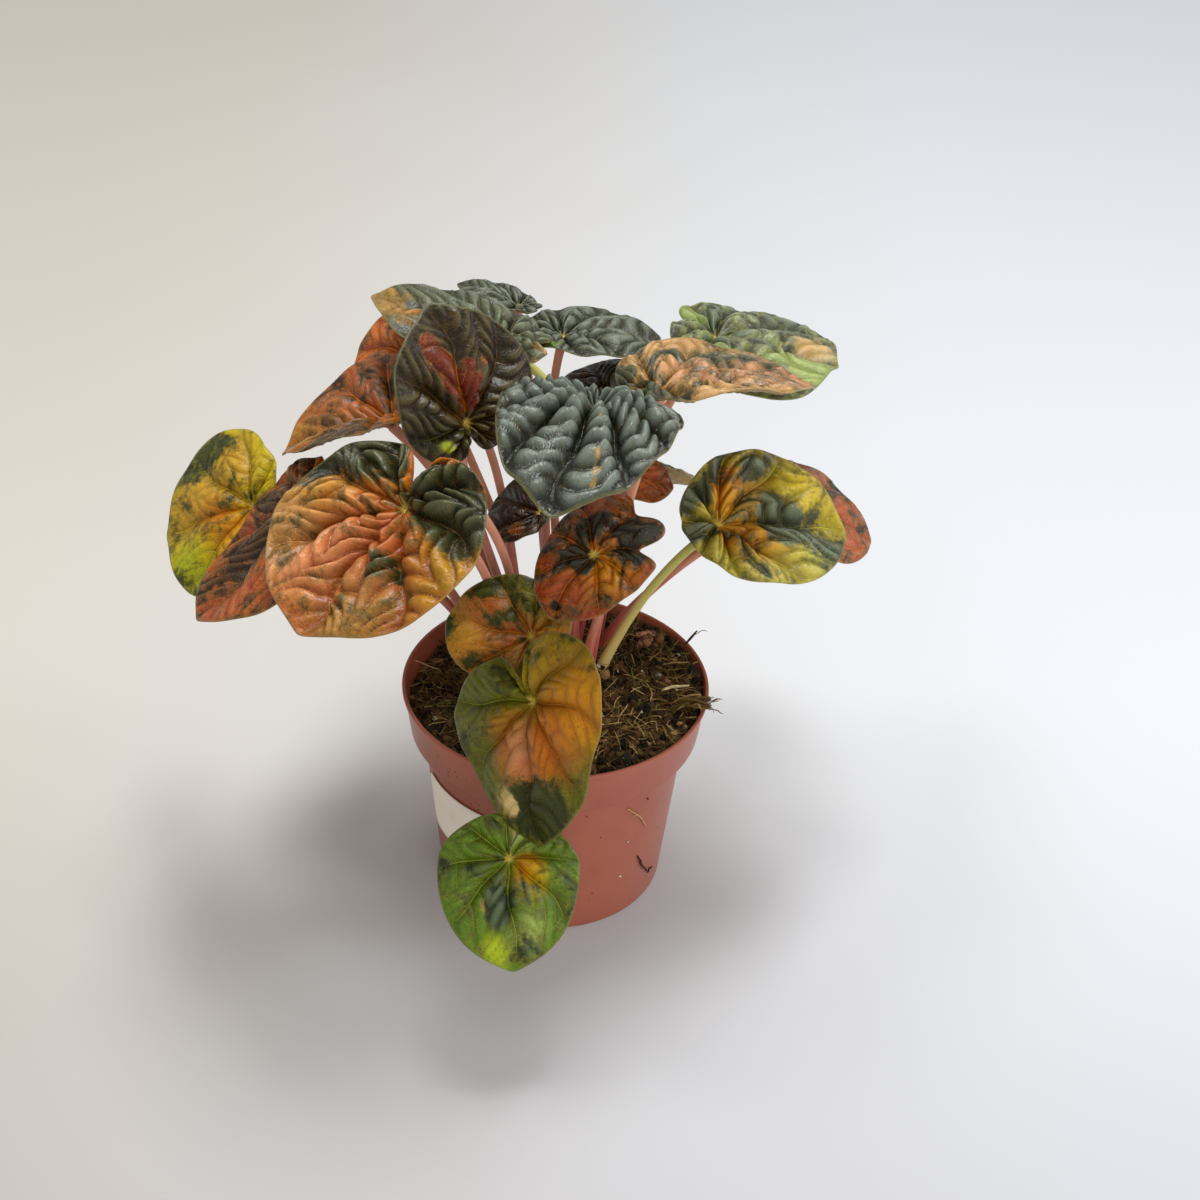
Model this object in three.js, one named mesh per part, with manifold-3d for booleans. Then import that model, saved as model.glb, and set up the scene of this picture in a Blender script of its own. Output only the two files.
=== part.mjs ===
import * as THREE from 'three';
import { mergeVertices } from 'three/addons/utils/BufferGeometryUtils.js';
import Module from 'manifold-3d';

// A peperomia with puckered heart-shaped leaves, growing in peat in a round plastic nursery pot.
// Millimetres, +Z up. The origin is the centre of the pot's underside, and the pot stands on z = 0.
// The side that faces -Y is the front.

const gap = 0.3; // clearance between pieces that touch

// The pot: a tapered cup with a wide collar round its mouth and drain holes in its floor.
const pot = {
  height: 90,
  rimRadius: 60,
  lipWidth: 0.7,
  lipHeight: 2.2,
  collarHeight: 19,
  collarFootRadius: 57,
  shoulderRadius: 52,
  baseRadius: 45.3,
  edgeBevel: 0.8,
  wall: 1.4,
  floor: 1.8,
  sides: 40,
  drainHoles: 6,
  drainHoleRadius: 4,
  drainRingRadius: 27,
};

// The peat: it fills the pot, lies higher on the right than on the left and is heaped in the middle.
const soil = {
  level: 84.3,
  rise: 4.2,
  moundHeight: 3,
  moundRadius: 30,
  lumpHeight: 0.9,
  lumpPitch: 20,
  crumbPitch: 10,
  rings: 8,
  spokes: 36,
};

// The paper label: a blank curved patch on the pot's body, under the collar on the left.
const label = {
  centreAngle: 226,
  widthAngle: 50,
  bottom: 29.5,
  top: 57,
  thickness: 0.35,
  standOff: 0.36,
  columns: 10,
};

// Every leaf blade: a thin heart-shaped sheet with sunken veins that fan out from its stalk.
const blade = {
  thickness: 1,
  spokes: 24,
  rings: [0.26, 0.52, 0.78, 1],
  veins: 8,
  ridge: 0.07,
  hollowDepth: 3,
  hollowRadius: 9,
  foldRound: 3,
  taper: 2.6,
  sinusDepth: 0.7,
  sinusWidth: 0.22,
  tipLength: 0.06,
  tipWidth: 0.12,
  tearDepth: 0.35,
  tearWidth: 0.16,
};

// Every leaf stalk: a round bent rod that stands in its own hole in the peat.
const petiole = {
  crownY: 6,
  radius: 1.9,
  sides: 6,
  steps: 7,
  holeDepth: 6,
  lift: 0.42,
  lean: 0.5,
  reach: 0.32,
  outward: 0.2,
};

// One entry for each leaf. joint is where the stalk meets the blade. heading is the way the tip points
// as seen from above, from +X towards +Y; pitch lifts the tip and roll tips the blade about its midrib,
// in degrees. length runs from joint to tip; side and lobe are the blade's half width and the reach of
// its back lobes as parts of length, and point narrows the front, or fills it out below zero. arch bends
// the tip down, cup bends the edges down and fold lifts both halves into a V. skew turns the notch
// behind the joint, sinus is its depth, and tear is the angle of a bite in the margin. veins is the
// number of main veins and ridge the height between them. foot is the stalk's place on the peat, as an
// angle and a distance from the crown. lift, reach and lean shape the stalk's bend, and tone and stalk
// name the colours.
const leaves = [
  { joint: [-117.5, 18, 151.5], heading: 167, pitch: -28, roll: -40, length: 41, side: 0.56, lobe: 0.24,
    point: -0.17, arch: 0.07, cup: 0.13, fold: 0.04, skew: 31, foot: [178, 19], tone: 'yellow' },
  { joint: [-88.5, -9.5, 170.5], heading: 216, pitch: -46, roll: 12, length: 55, side: 0.6, lobe: 0.3,
    point: 0.11, arch: -0.14, cup: 0.04, fold: 0, skew: -7, foot: [198, 21], tone: 'orange' },
  { joint: [-52.3, -40, 189.7], heading: 229, pitch: -35.5, roll: 2.7, length: 53, side: 0.775, lobe: 0.39,
    point: -0.02, arch: -0.04, cup: 0.06, fold: 0.12, skew: -8, foot: [206, 15.5], tone: 'orange' },
  { joint: [-64.5, 20, 190], heading: 177, pitch: -18, roll: 0, length: 42, side: 0.73, lobe: 0.39,
    point: 0.07, arch: 0.13, cup: 0, fold: 0.35, skew: 7, foot: [152, 16], tone: 'orange' },
  { joint: [-58, 52, 200], heading: 140, pitch: -9, roll: -45, length: 32, side: 0.56, lobe: 0.42,
    arch: 0.1, cup: 0.05, fold: 0, foot: [135, 18], tone: 'orange' },
  { joint: [-25, 52, 209], heading: 173, pitch: 14, roll: 6, length: 50, side: 0.55, lobe: 0.37,
    arch: 0.04, cup: 0.04, fold: -0.03, foot: [68, 15], reach: 0.38, lean: 8, tone: 'dark', stalk: 'pale' },
  { joint: [-36, 8, 198], heading: 137, pitch: 76, roll: -3, length: 41, side: 0.65, lobe: 0.28,
    arch: 0.25, cup: 0.05, fold: 0.08, foot: [172, 13], lean: 3, tone: 'dark' },
  { joint: [-4, 77, 200], heading: 10, pitch: -2, roll: -3, length: 37, side: 0.58, lobe: 0.5,
    arch: 0.07, cup: 0.04, fold: 0, foot: [84, 14], lean: 0.2, tone: 'dark' },
  { joint: [11, -20, 220], heading: 259, pitch: 15, roll: -4, length: 50, side: 0.61, lobe: 0.38,
    point: 0.09, arch: 0.46, cup: -0.05, fold: -0.06, veins: 12, ridge: 0.08, foot: [-80, 7],
    lean: 1, tone: 'dark' },
  { joint: [17, 50, 187], heading: 109, pitch: 0, roll: -13, length: 30, side: 0.56, lobe: 0.42,
    arch: 0.09, cup: 0.05, fold: 0, foot: [60, 11], tone: 'dark' },
  { joint: [33.5, 14, 210.5], heading: 19, pitch: 9, roll: -13, length: 55, side: 0.59, lobe: 0.13,
    point: 0, arch: 0.24, cup: -0.18, fold: -0.03, skew: -4, foot: [10, 12], tone: 'orange' },
  { joint: [56, 80, 201], heading: -13, pitch: -10, roll: -6, length: 46.5, side: 0.73, lobe: 0.38,
    point: -0.22, arch: -0.03, cup: 0.14, fold: 0.04, sinus: 0.3, foot: [62.5, 30.4], tone: 'green' },
  { joint: [58, 0, 164.5], heading: 13, pitch: -7, roll: 29, length: 48, side: 0.52, lobe: 0.34,
    point: 0.05, arch: 0.09, cup: -0.04, fold: 0.18, sinus: 0.1, foot: [30, 18], lift: 0.3,
    tone: 'green', stalk: 'pale' },
  { joint: [89, 28, 160], heading: 9, pitch: -32, roll: 15, length: 35, side: 0.59, lobe: 0.42,
    arch: 0.06, cup: 0.09, fold: -0.05, foot: [58, 25], lift: 0.3,
    tone: 'orange' },
  { joint: [21, 26, 169], heading: 4, pitch: -17, roll: 17, length: 20, side: 0.56, lobe: 0.42,
    arch: 0.08, cup: 0.05, fold: 0, foot: [30, 6], tone: 'orange' },
  { joint: [13, -38, 173.5], heading: 229, pitch: -32, roll: -11, length: 25.5, side: 0.77, lobe: 1.09,
    point: 0.03, arch: 0.19, cup: 0.17, fold: -0.17, skew: 8, sinus: 0.25, tear: 130,
    foot: [-50, 14], tone: 'orange' },
  { joint: [-8, 12, 159], heading: 133, pitch: -16, roll: -35, length: 26, side: 0.57, lobe: 0.4,
    arch: 0.07, cup: 0.06, fold: 0, foot: [150, 7], lean: -0.8, tone: 'dark' },
  { joint: [-8.1, -35, 135.4], heading: 158, pitch: -7, roll: -39, length: 33, side: 0.56, lobe: 0.5,
    point: 0.03, arch: 0.06, cup: 0.02, fold: 0.12, skew: 8, foot: [262, 15], tone: 'yellow',
    stalk: 'pale' },
  { joint: [-5.5, -66, 129.5], heading: 271, pitch: -57, roll: 47, length: 48, side: 0.82, lobe: 0.4,
    point: 0.14, arch: 0.14, cup: 0, fold: 0.03, skew: -26, foot: [300, 21],
    lift: 0.25, lean: -0.2, reach: 0.3, tone: 'yellow' },
  { joint: [-12, -89, 76.6], heading: 277, pitch: -38, roll: 6, length: 37, side: 0.67, lobe: 0.42,
    point: 0.08, arch: 0.11, cup: 0.06, fold: 0, skew: 12, foot: [255, 25], lift: 0.85,
    reach: 0.3, lean: 3, tone: 'green', stalk: 'pale' },
  { joint: [-39, -7, 182], heading: 178, pitch: -20, roll: 0, length: 16, side: 0.56, lobe: 0.42,
    arch: 0.07, cup: 0.05, fold: 0, foot: [196, 12], tone: 'orange' },
  { joint: [8, 11, 150], heading: 250, pitch: 20, roll: 0, length: 13, side: 0.56, lobe: 0.42,
    arch: 0.1, cup: 0.05, fold: 0, foot: [0, 0], lean: 0, tone: 'dark' },
  { joint: [-50, 80, 167], heading: 120, pitch: -32, roll: 0, length: 40, side: 0.6, lobe: 0.4,
    arch: 0.15, cup: 0.06, fold: 0.04, foot: [118, 21], tone: 'green' },
  { joint: [-14, 98, 152], heading: 94, pitch: -42, roll: 4, length: 42, side: 0.6, lobe: 0.4,
    arch: 0.12, cup: 0.06, fold: 0.04, foot: [98, 26], tone: 'dark' },
  { joint: [24, 90, 134], heading: 66, pitch: -34, roll: -4, length: 38, side: 0.6, lobe: 0.4,
    arch: 0.12, cup: 0.06, fold: 0.04, foot: [78, 25.5], tone: 'green' },
  { joint: [-23, 100, 201], heading: 165, pitch: 10, roll: 10, length: 25, side: 0.48, lobe: 0.4,
    arch: 0.05, cup: 0.05, fold: 0, foot: [100, 21], tone: 'dark' },
];

const colours = {
  pot: 0x9c4a38,
  soil: 0x3b2a1e,
  label: 0xf1eee8,
  yellow: 0xa8922c,
  orange: 0xb06a3c,
  dark: 0x4a4f48,
  green: 0x5f7a3a,
  pink: 0xb87f74,
  pale: 0xb5ab78,
};

const library = await Module();
library.setup();

const radians = THREE.MathUtils.degToRad;

// Solids and booleans.

function closedGeometry(points, triangles) {
  const geometry = new THREE.BufferGeometry();
  geometry.setAttribute('position', new THREE.Float32BufferAttribute(points.flat(), 3));
  geometry.setIndex(triangles.flat());
  geometry.computeVertexNormals();
  return geometry;
}

function solidOf(geometry) {
  const bare = geometry.clone();
  bare.deleteAttribute('normal');
  bare.deleteAttribute('uv');
  const merged = mergeVertices(bare);
  return new library.Manifold(new library.Mesh({
    numProp: 3,
    vertProperties: new Float32Array(merged.attributes.position.array),
    triVerts: new Uint32Array(merged.index.array),
  }));
}

function geometryOf(solid) {
  const mesh = solid.getMesh();
  const geometry = new THREE.BufferGeometry();
  geometry.setAttribute('position', new THREE.BufferAttribute(mesh.vertProperties, 3));
  geometry.setIndex(new THREE.BufferAttribute(mesh.triVerts, 1));
  geometry.computeVertexNormals();
  return geometry;
}

function named(name, geometry, colour, roughness) {
  const material = new THREE.MeshStandardMaterial({ color: colour, roughness, metalness: 0 });
  const mesh = new THREE.Mesh(geometry, material);
  mesh.name = name;
  return mesh;
}

// The pot.

const shoulderHeight = pot.height - pot.collarHeight;

// A body radius runs straight from the base to the shoulder.
function bodyRadius(z) {
  return THREE.MathUtils.lerp(pot.baseRadius, pot.shoulderRadius, z / shoulderHeight);
}

// A collar radius runs straight from the collar's foot to just under the lip.
function collarRadius(z) {
  const part = (z - shoulderHeight) / pot.collarHeight;
  return THREE.MathUtils.lerp(pot.collarFootRadius, pot.rimRadius - pot.lipWidth, part);
}

function potGeometry() {
  const { height, rimRadius, lipHeight, edgeBevel, wall, floor } = pot;
  const lipFoot = height - lipHeight;
  const innerShoulder = shoulderHeight + wall;
  const profile = [
    [0, 0],
    [pot.baseRadius - edgeBevel, 0],
    [bodyRadius(edgeBevel), edgeBevel],
    [bodyRadius(shoulderHeight), shoulderHeight],
    [pot.collarFootRadius - edgeBevel, shoulderHeight],
    [collarRadius(innerShoulder), innerShoulder],
    [collarRadius(lipFoot), lipFoot],
    [rimRadius, lipFoot + pot.lipWidth],
    [rimRadius, height - edgeBevel / 2],
    [rimRadius - edgeBevel / 2, height],
    [rimRadius - wall, height],
    [collarRadius(innerShoulder) - wall, innerShoulder + edgeBevel],
    [bodyRadius(shoulderHeight) - wall, innerShoulder],
    [bodyRadius(floor) - wall, floor],
    [0, floor],
  ].map(([radius, z]) => new THREE.Vector2(radius, z));
  const cup = new THREE.LatheGeometry(profile, pot.sides).rotateX(Math.PI / 2);
  let solid = solidOf(cup);
  for (let i = 0; i < pot.drainHoles; i += 1) {
    const angle = (2 * Math.PI * i) / pot.drainHoles;
    const drill = new THREE.CylinderGeometry(pot.drainHoleRadius, pot.drainHoleRadius, 4 * floor, 12)
      .rotateX(Math.PI / 2)
      .translate(pot.drainRingRadius * Math.cos(angle), pot.drainRingRadius * Math.sin(angle), 0);
    solid = solid.subtract(solidOf(drill));
  }
  return geometryOf(solid);
}

// The peat's height above the pot's foot: a slope to the right, a low mound and two sets of lumps.
function soilHeight(x, y) {
  const lumpTurn = (2 * Math.PI) / soil.lumpPitch;
  const crumbTurn = (2 * Math.PI) / soil.crumbPitch;
  const mound = Math.exp(-((x * x + y * y) / soil.moundRadius ** 2));
  const lumps = Math.sin(lumpTurn * x + 1) * Math.cos(lumpTurn * y);
  const crumbs = 0.7 * Math.sin(crumbTurn * (x + 0.8 * y));
  return soil.level + (soil.rise * x) / pot.rimRadius + soil.moundHeight * mound
    + soil.lumpHeight * (lumps + crumbs);
}

// The peat's solid: its lumpy top, its side along the pot's inner wall, and its flat bottom.
function soilGeometry() {
  const { rings, spokes } = soil;
  const inset = pot.wall + 2 * gap;
  const ledge = shoulderHeight + pot.wall + gap;
  const points = [[0, 0, soilHeight(0, 0)]];
  const angles = Array.from({ length: spokes }, (_, j) => (2 * Math.PI * j) / spokes);
  for (let i = 1; i <= rings; i += 1) {
    for (const angle of angles) {
      const rim = collarRadius(soil.level) - inset;
      const edgeZ = soilHeight(rim * Math.cos(angle), rim * Math.sin(angle));
      const radius = ((collarRadius(edgeZ) - inset - gap) * i) / rings;
      const x = radius * Math.cos(angle);
      const y = radius * Math.sin(angle);
      points.push([x, y, soilHeight(x, y)]);
    }
  }
  const side = [
    [collarRadius(ledge) - inset - gap, ledge + pot.edgeBevel],
    [bodyRadius(shoulderHeight) - inset, ledge],
    [bodyRadius(pot.floor) - inset, pot.floor + gap],
  ];
  for (const [radius, z] of side) {
    for (const angle of angles) {
      points.push([radius * Math.cos(angle), radius * Math.sin(angle), z]);
    }
  }
  points.push([0, 0, pot.floor + gap]);
  const triangles = [];
  const last = points.length - 1;
  const bands = rings + side.length;
  for (let j = 0; j < spokes; j += 1) {
    const next = (j + 1) % spokes;
    triangles.push([0, 1 + j, 1 + next]);
    for (let i = 0; i < bands - 1; i += 1) {
      const inner = 1 + i * spokes;
      const outer = inner + spokes;
      triangles.push([inner + j, outer + j, outer + next], [inner + j, outer + next, inner + next]);
    }
    const bottom = 1 + (bands - 1) * spokes;
    triangles.push([bottom + j, last, bottom + next]);
  }
  return closedGeometry(points, triangles);
}

// The label is one grid bent round the pot's body, closed at both ends.
function labelGeometry() {
  const points = [];
  const triangles = [];
  for (let j = 0; j <= label.columns; j += 1) {
    const angle = radians(label.centreAngle + label.widthAngle * (j / label.columns - 0.5));
    for (const [z, lift] of [[label.bottom, 0], [label.bottom, label.thickness],
      [label.top, label.thickness], [label.top, 0]]) {
      const radius = bodyRadius(z) + label.standOff + lift;
      points.push([radius * Math.cos(angle), radius * Math.sin(angle), z]);
    }
  }
  for (let j = 0; j < label.columns; j += 1) {
    for (let k = 0; k < 4; k += 1) {
      const a = 4 * j + k;
      const b = 4 * j + ((k + 1) % 4);
      triangles.push([a, a + 4, b + 4], [a, b + 4, b]);
    }
  }
  const end = 4 * label.columns;
  triangles.push([0, 1, 2], [0, 2, 3], [end, end + 2, end + 1], [end, end + 3, end + 2]);
  return closedGeometry(points, triangles);
}

// The blade's own axes: u runs from joint to tip, v across to the left, w out of the upper face.
function axesOf(leaf) {
  const heading = radians(leaf.heading);
  const pitch = radians(leaf.pitch);
  const roll = radians(leaf.roll);
  const u = new THREE.Vector3(
    Math.cos(heading) * Math.cos(pitch),
    Math.sin(heading) * Math.cos(pitch),
    Math.sin(pitch),
  );
  const level = new THREE.Vector3(-Math.sin(heading), Math.cos(heading), 0);
  const v = level.applyAxisAngle(u, roll);
  const w = new THREE.Vector3().crossVectors(u, v);
  return { u, v, w };
}

// A torn leaf's margin is bitten in at one angle.
function tearAt(angle, leaf) {
  if (leaf.tear === undefined) {
    return 1;
  }
  const away = (angle - radians(leaf.tear)) / blade.tearWidth;
  return 1 - blade.tearDepth * Math.exp(-away * away);
}

// The margin's distance from the joint, at an angle from the tip, as a part of the leaf's length:
// a rounded heart with a notch behind the joint and a short point in front.
function margin(angle, leaf) {
  const turn = angle + (radians(leaf.skew ?? 0) * (1 - Math.cos(angle))) / 2;
  const ends = (1 + leaf.lobe) / 2;
  const round = (ends + leaf.side) / 2 + ((1 - leaf.lobe) / 2) * Math.cos(turn)
    + ((ends - leaf.side) / 2) * Math.cos(2 * turn);
  const taper = (leaf.point ?? 0) * blade.taper * Math.max(0, Math.cos(turn)) * Math.sin(turn) ** 2;
  const fromNotch = Math.acos(-Math.cos(turn)) / blade.sinusWidth;
  const notch = 1 - (leaf.sinus ?? blade.sinusDepth) * Math.exp(-fromNotch * fromNotch);
  const tear = tearAt(angle, leaf);
  return (round - taper) * notch * tear + blade.tipLength * Math.exp(-Math.abs(angle) / blade.tipWidth);
}

// The blade's height over its own plane: bends along and across, a fold, the hollow over the stalk
// and a ridge between each pair of veins.
function lift(along, across, part, angle, leaf) {
  const { length } = leaf;
  const distance = Math.hypot(along, across) / blade.hollowRadius;
  const bend = (leaf.arch * along * along + leaf.cup * across * across) / length;
  const fold = leaf.fold * (Math.hypot(across, blade.foldRound) - blade.foldRound);
  const hollow = blade.hollowDepth * (1 - Math.exp(-distance * distance));
  const between = Math.sin(((leaf.veins ?? blade.veins) * angle) / 2) ** 2;
  const ridge = (leaf.ridge ?? blade.ridge) * length;
  const body = Math.sin(Math.PI * part ** 0.8);
  const edge = 0.5 * part ** 4;
  return fold - bend + hollow + ridge * between * (body + edge);
}

// Both faces of the blade share one grid of spokes and rings; a strip joins them round the margin.
function bladeGeometry(leaf) {
  const { spokes, rings, thickness } = blade;
  const { u, v, w } = axesOf(leaf);
  const joint = new THREE.Vector3(...leaf.joint);
  const place = (angle, part, down) => {
    const reach = part * margin(angle, leaf) * leaf.length;
    const along = reach * Math.cos(angle);
    const across = reach * Math.sin(angle);
    const up = lift(along, across, part, angle, leaf) - down;
    return joint.clone().addScaledVector(u, along).addScaledVector(v, across)
      .addScaledVector(w, up).toArray();
  };
  const points = [];
  for (const down of [0, thickness]) {
    points.push(place(0, 0, down));
    for (const part of rings) {
      for (let j = 0; j < spokes; j += 1) {
        points.push(place((2 * Math.PI * j) / spokes - Math.PI, part, down));
      }
    }
  }
  const under = 1 + rings.length * spokes;
  const triangles = [];
  const bothFaces = (a, b, c) => {
    triangles.push([a, b, c], [under + a, under + c, under + b]);
  };
  for (let j = 0; j < spokes; j += 1) {
    const next = (j + 1) % spokes;
    bothFaces(0, 1 + j, 1 + next);
    for (let i = 0; i < rings.length - 1; i += 1) {
      const inner = 1 + i * spokes;
      const outer = inner + spokes;
      bothFaces(inner + j, outer + j, outer + next);
      bothFaces(inner + j, outer + next, inner + next);
    }
    const edge = 1 + (rings.length - 1) * spokes;
    triangles.push([edge + j, under + edge + j, under + edge + next]);
    triangles.push([edge + j, under + edge + next, edge + next]);
  }
  return closedGeometry(points, triangles);
}

// The stalk's curve: up from its foot in the peat, then over to the underside of the blade.
function petioleCurve(leaf, sunk) {
  const { u, w } = axesOf(leaf);
  const [footAngle, footDistance] = leaf.foot;
  const footX = footDistance * Math.cos(radians(footAngle));
  const footY = footDistance * Math.sin(radians(footAngle)) + petiole.crownY;
  const foot = new THREE.Vector3(footX, footY, soilHeight(footX, footY) - petiole.holeDepth);
  const joint = new THREE.Vector3(...leaf.joint);
  const lean = leaf.lean ?? petiole.lean;
  const edge = (petiole.radius * Math.abs(lean)) / Math.hypot(1, lean);
  const end = joint.addScaledVector(w, -(blade.thickness + gap + edge));
  const span = foot.distanceTo(end);
  const arrive = w.clone().addScaledVector(u, lean).normalize();
  const outward = new THREE.Vector3(end.x - foot.x, end.y - foot.y, 0).multiplyScalar(petiole.outward);
  const rise = (leaf.lift ?? petiole.lift) * span;
  const first = foot.clone().add(outward).add(new THREE.Vector3(0, 0, rise));
  const second = end.clone().addScaledVector(arrive, -(leaf.reach ?? petiole.reach) * span);
  const down = first.clone().sub(foot).setLength(sunk);
  return new THREE.CubicBezierCurve3(foot.sub(down), first, second, end);
}

function rodGeometry(curve, radius) {
  const outline = new THREE.Shape(Array.from({ length: petiole.sides }, (_, i) => {
    const angle = (2 * Math.PI * i) / petiole.sides;
    return new THREE.Vector2(radius * Math.cos(angle), radius * Math.sin(angle));
  }));
  return new THREE.ExtrudeGeometry(outline, {
    steps: petiole.steps,
    extrudePath: curve,
    bevelEnabled: false,
  });
}

const plant = new THREE.Group();
plant.add(named('pot', potGeometry(), colours.pot, 0.45));
plant.add(named('label', labelGeometry(), colours.label, 0.8));

let peat = solidOf(soilGeometry());
leaves.forEach((leaf, i) => {
  const name = `leaf_${String(i + 1).padStart(2, '0')}`;
  const hole = solidOf(rodGeometry(petioleCurve(leaf, 2 * gap), petiole.radius + 2 * gap));
  peat = peat.subtract(hole);
  plant.add(named(`${name}_blade`, bladeGeometry(leaf), colours[leaf.tone], 0.5));
  plant.add(named(`${name}_petiole`, rodGeometry(petioleCurve(leaf, 0), petiole.radius),
    colours[leaf.stalk ?? 'pink'], 0.5));
});
plant.add(named('soil', geometryOf(peat), colours.soil, 0.95));

export default plant;
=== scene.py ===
import bpy
import numpy as np
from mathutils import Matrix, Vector
from numpy import arange, array, clip, concatenate, cos, cross, cumsum, exp, hypot
from numpy import linspace, pi, radians, repeat, sin, stack


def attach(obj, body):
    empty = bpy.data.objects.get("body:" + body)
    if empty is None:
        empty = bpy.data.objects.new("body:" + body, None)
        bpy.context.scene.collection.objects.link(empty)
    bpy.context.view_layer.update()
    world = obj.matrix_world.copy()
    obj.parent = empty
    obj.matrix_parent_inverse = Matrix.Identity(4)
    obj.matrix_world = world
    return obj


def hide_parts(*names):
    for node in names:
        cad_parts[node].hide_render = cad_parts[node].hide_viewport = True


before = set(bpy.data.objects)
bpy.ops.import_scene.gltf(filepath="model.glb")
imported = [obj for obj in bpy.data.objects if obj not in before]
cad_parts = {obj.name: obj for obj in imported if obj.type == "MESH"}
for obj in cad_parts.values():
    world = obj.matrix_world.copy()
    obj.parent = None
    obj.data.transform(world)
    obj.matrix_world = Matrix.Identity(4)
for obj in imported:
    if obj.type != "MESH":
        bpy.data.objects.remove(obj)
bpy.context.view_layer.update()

# A peperomia with puckered, variegated heart-shaped leaves in a plastic nursery pot of peat.
# Shapes are worked out in millimetres in the model's own frame and written in metres.

metre = .001  # millimetres to metres


def linearColour(text):
    # a colour such as 'c98468' as three linear numbers, by the usual screen curve
    parts = array([int(text[k:k + 2], 16) / 255 for k in (0, 2, 4)])
    return np.where(parts <= .04045, parts / 12.92, ((parts + .055) / 1.055) ** 2.4)


def rgba(text):
    return (*linearColour(text), 1)


def smooth(low, high, value):
    # 0 below low, 1 above high, and an S between them
    part = clip((value - low) / (high - low), 0, 1)
    return part * part * (3 - 2 * part)


def mix(first, second, part):
    return first + (second - first) * part


def unit(vectors):
    return vectors / np.linalg.norm(vectors, axis=-1, keepdims=True)


class Wire:
    # A socket in a material's node tree. Arithmetic on it adds Math nodes; node() adds any other node.
    def __init__(self, tree, socket=None):
        self.tree = tree
        self.socket = socket

    def node(self, kind, settings={}, inputs={}, output=0):
        made = self.tree.nodes.new('ShaderNode' + kind)
        for key, value in settings.items():
            setattr(made, key, value)
        for key, value in inputs.items():
            if isinstance(value, Wire):
                self.tree.links.new(value.socket, made.inputs[key])
            else:
                made.inputs[key].default_value = rgba(value) if isinstance(value, str) else value
        return Wire(self.tree, made.outputs[output])

    def math(self, operation, *values):
        return self.node('Math', {'operation': operation}, dict(enumerate(values)))

    def vector(self, operation, *values, output=0):
        return self.node('VectorMath', {'operation': operation}, dict(enumerate(values)), output)

    def times(self, factors):
        # a colour or a vector times three numbers
        return self.vector('MULTIPLY', self, factors)

    def most(self, other):
        return self.math('MAXIMUM', self, other)

    def offWhole(self):
        # how far this value is from the nearest whole number
        off = self - self.math('ROUND', self)
        return off.math('ABSOLUTE', off)

    def step(self, low, high, bottom=0, top=1):
        # an S from bottom to top as the value goes from low to high
        return self.node('MapRange', {'interpolation_type': 'SMOOTHSTEP'},
                         {0: self, 1: low, 2: high, 3: bottom, 4: top})

    def blend(self, first, second):
        # a colour between two colours, by this value
        return self.node('Mix', {'data_type': 'RGBA'}, {0: self, 6: first, 7: second}, 2)

    def noise(self, scale, detail=2, roughness=.5, distortion=0):
        # a soft cloud of values round .5, read at this vector
        return self.node('TexNoise', {}, {'Vector': self, 'Scale': scale, 'Detail': detail,
                                          'Roughness': roughness, 'Distortion': distortion})

    def cells(self, scale, feature='F1'):
        # the distance to the nearest cell's middle, or to its edge
        return self.node('TexVoronoi', {'feature': feature}, {'Vector': self, 'Scale': scale})

    def attribute(self, name, output):
        return self.node('Attribute', {'attribute_name': name}, {}, output)

    def place(self):
        # the point's own place, in metres
        return self.node('TexCoord', output=3)

    def parts(self):
        # the three numbers of a vector
        made = self.node('SeparateXYZ', {}, {0: self})
        return [Wire(self.tree, output) for output in made.socket.node.outputs]

    def joined(self, x, y, z):
        return self.node('CombineXYZ', {}, {0: x, 1: y, 2: z})


for sign, operation in dict(add='ADD', sub='SUBTRACT', mul='MULTIPLY', truediv='DIVIDE').items():
    # each sign, and its reflected form for a number on the left
    setattr(Wire, f'__{sign}__', lambda self, other, kind=operation: self.math(kind, self, other))
    setattr(Wire, f'__r{sign}__', lambda self, other, kind=operation: self.math(kind, other, self))


def newMaterial(name, fixed):
    # an empty Principled material; fixed holds the sockets that are the same all over
    material = bpy.data.materials.new(name)
    material.use_nodes = True
    for key, value in fixed.items():
        material.node_tree.nodes['Principled BSDF'].inputs[key].default_value = value
    return material, Wire(material.node_tree)


def feed(material, colour, roughness, height=None):
    # links what changes over a surface; height is in millimetres and feeds the normal
    links = {'Base Color': colour, 'Roughness': roughness}
    if height:
        links['Normal'] = height.node('Bump', {}, {'Distance': metre, 'Height': height})
    for key, value in links.items():
        value.tree.links.new(value.socket, value.tree.nodes['Principled BSDF'].inputs[key])
    return material


def newObject(name, data):
    made = bpy.data.objects.new(name, data)
    bpy.context.scene.collection.objects.link(made)
    return made


def newMesh(name, points, faces):
    mesh = bpy.data.meshes.new(name)
    mesh.from_pydata((points * metre).tolist(), [], faces)
    return newObject(name, mesh)


def addPiece(name, points, faces, material, slotName, replaced=(), flat=False):
    piece = newMesh(name, points, faces)
    piece.data.polygons.foreach_set('use_smooth', np.full(len(faces), not flat))
    piece.data.materials.append(material)
    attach(piece, 'root')
    if replaced:
        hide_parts(*replaced)
    return piece


def addAttribute(piece, name, values):
    # one vector for each point, or one colour where there are four numbers
    kind, key = ('FLOAT_VECTOR', 'vector') if values.shape[1] == 3 else ('FLOAT_COLOR', 'color')
    made = piece.data.attributes.new(name, kind, 'POINT')
    made.data.foreach_set(key, np.ascontiguousarray(values, dtype=np.float32).ravel())


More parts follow.
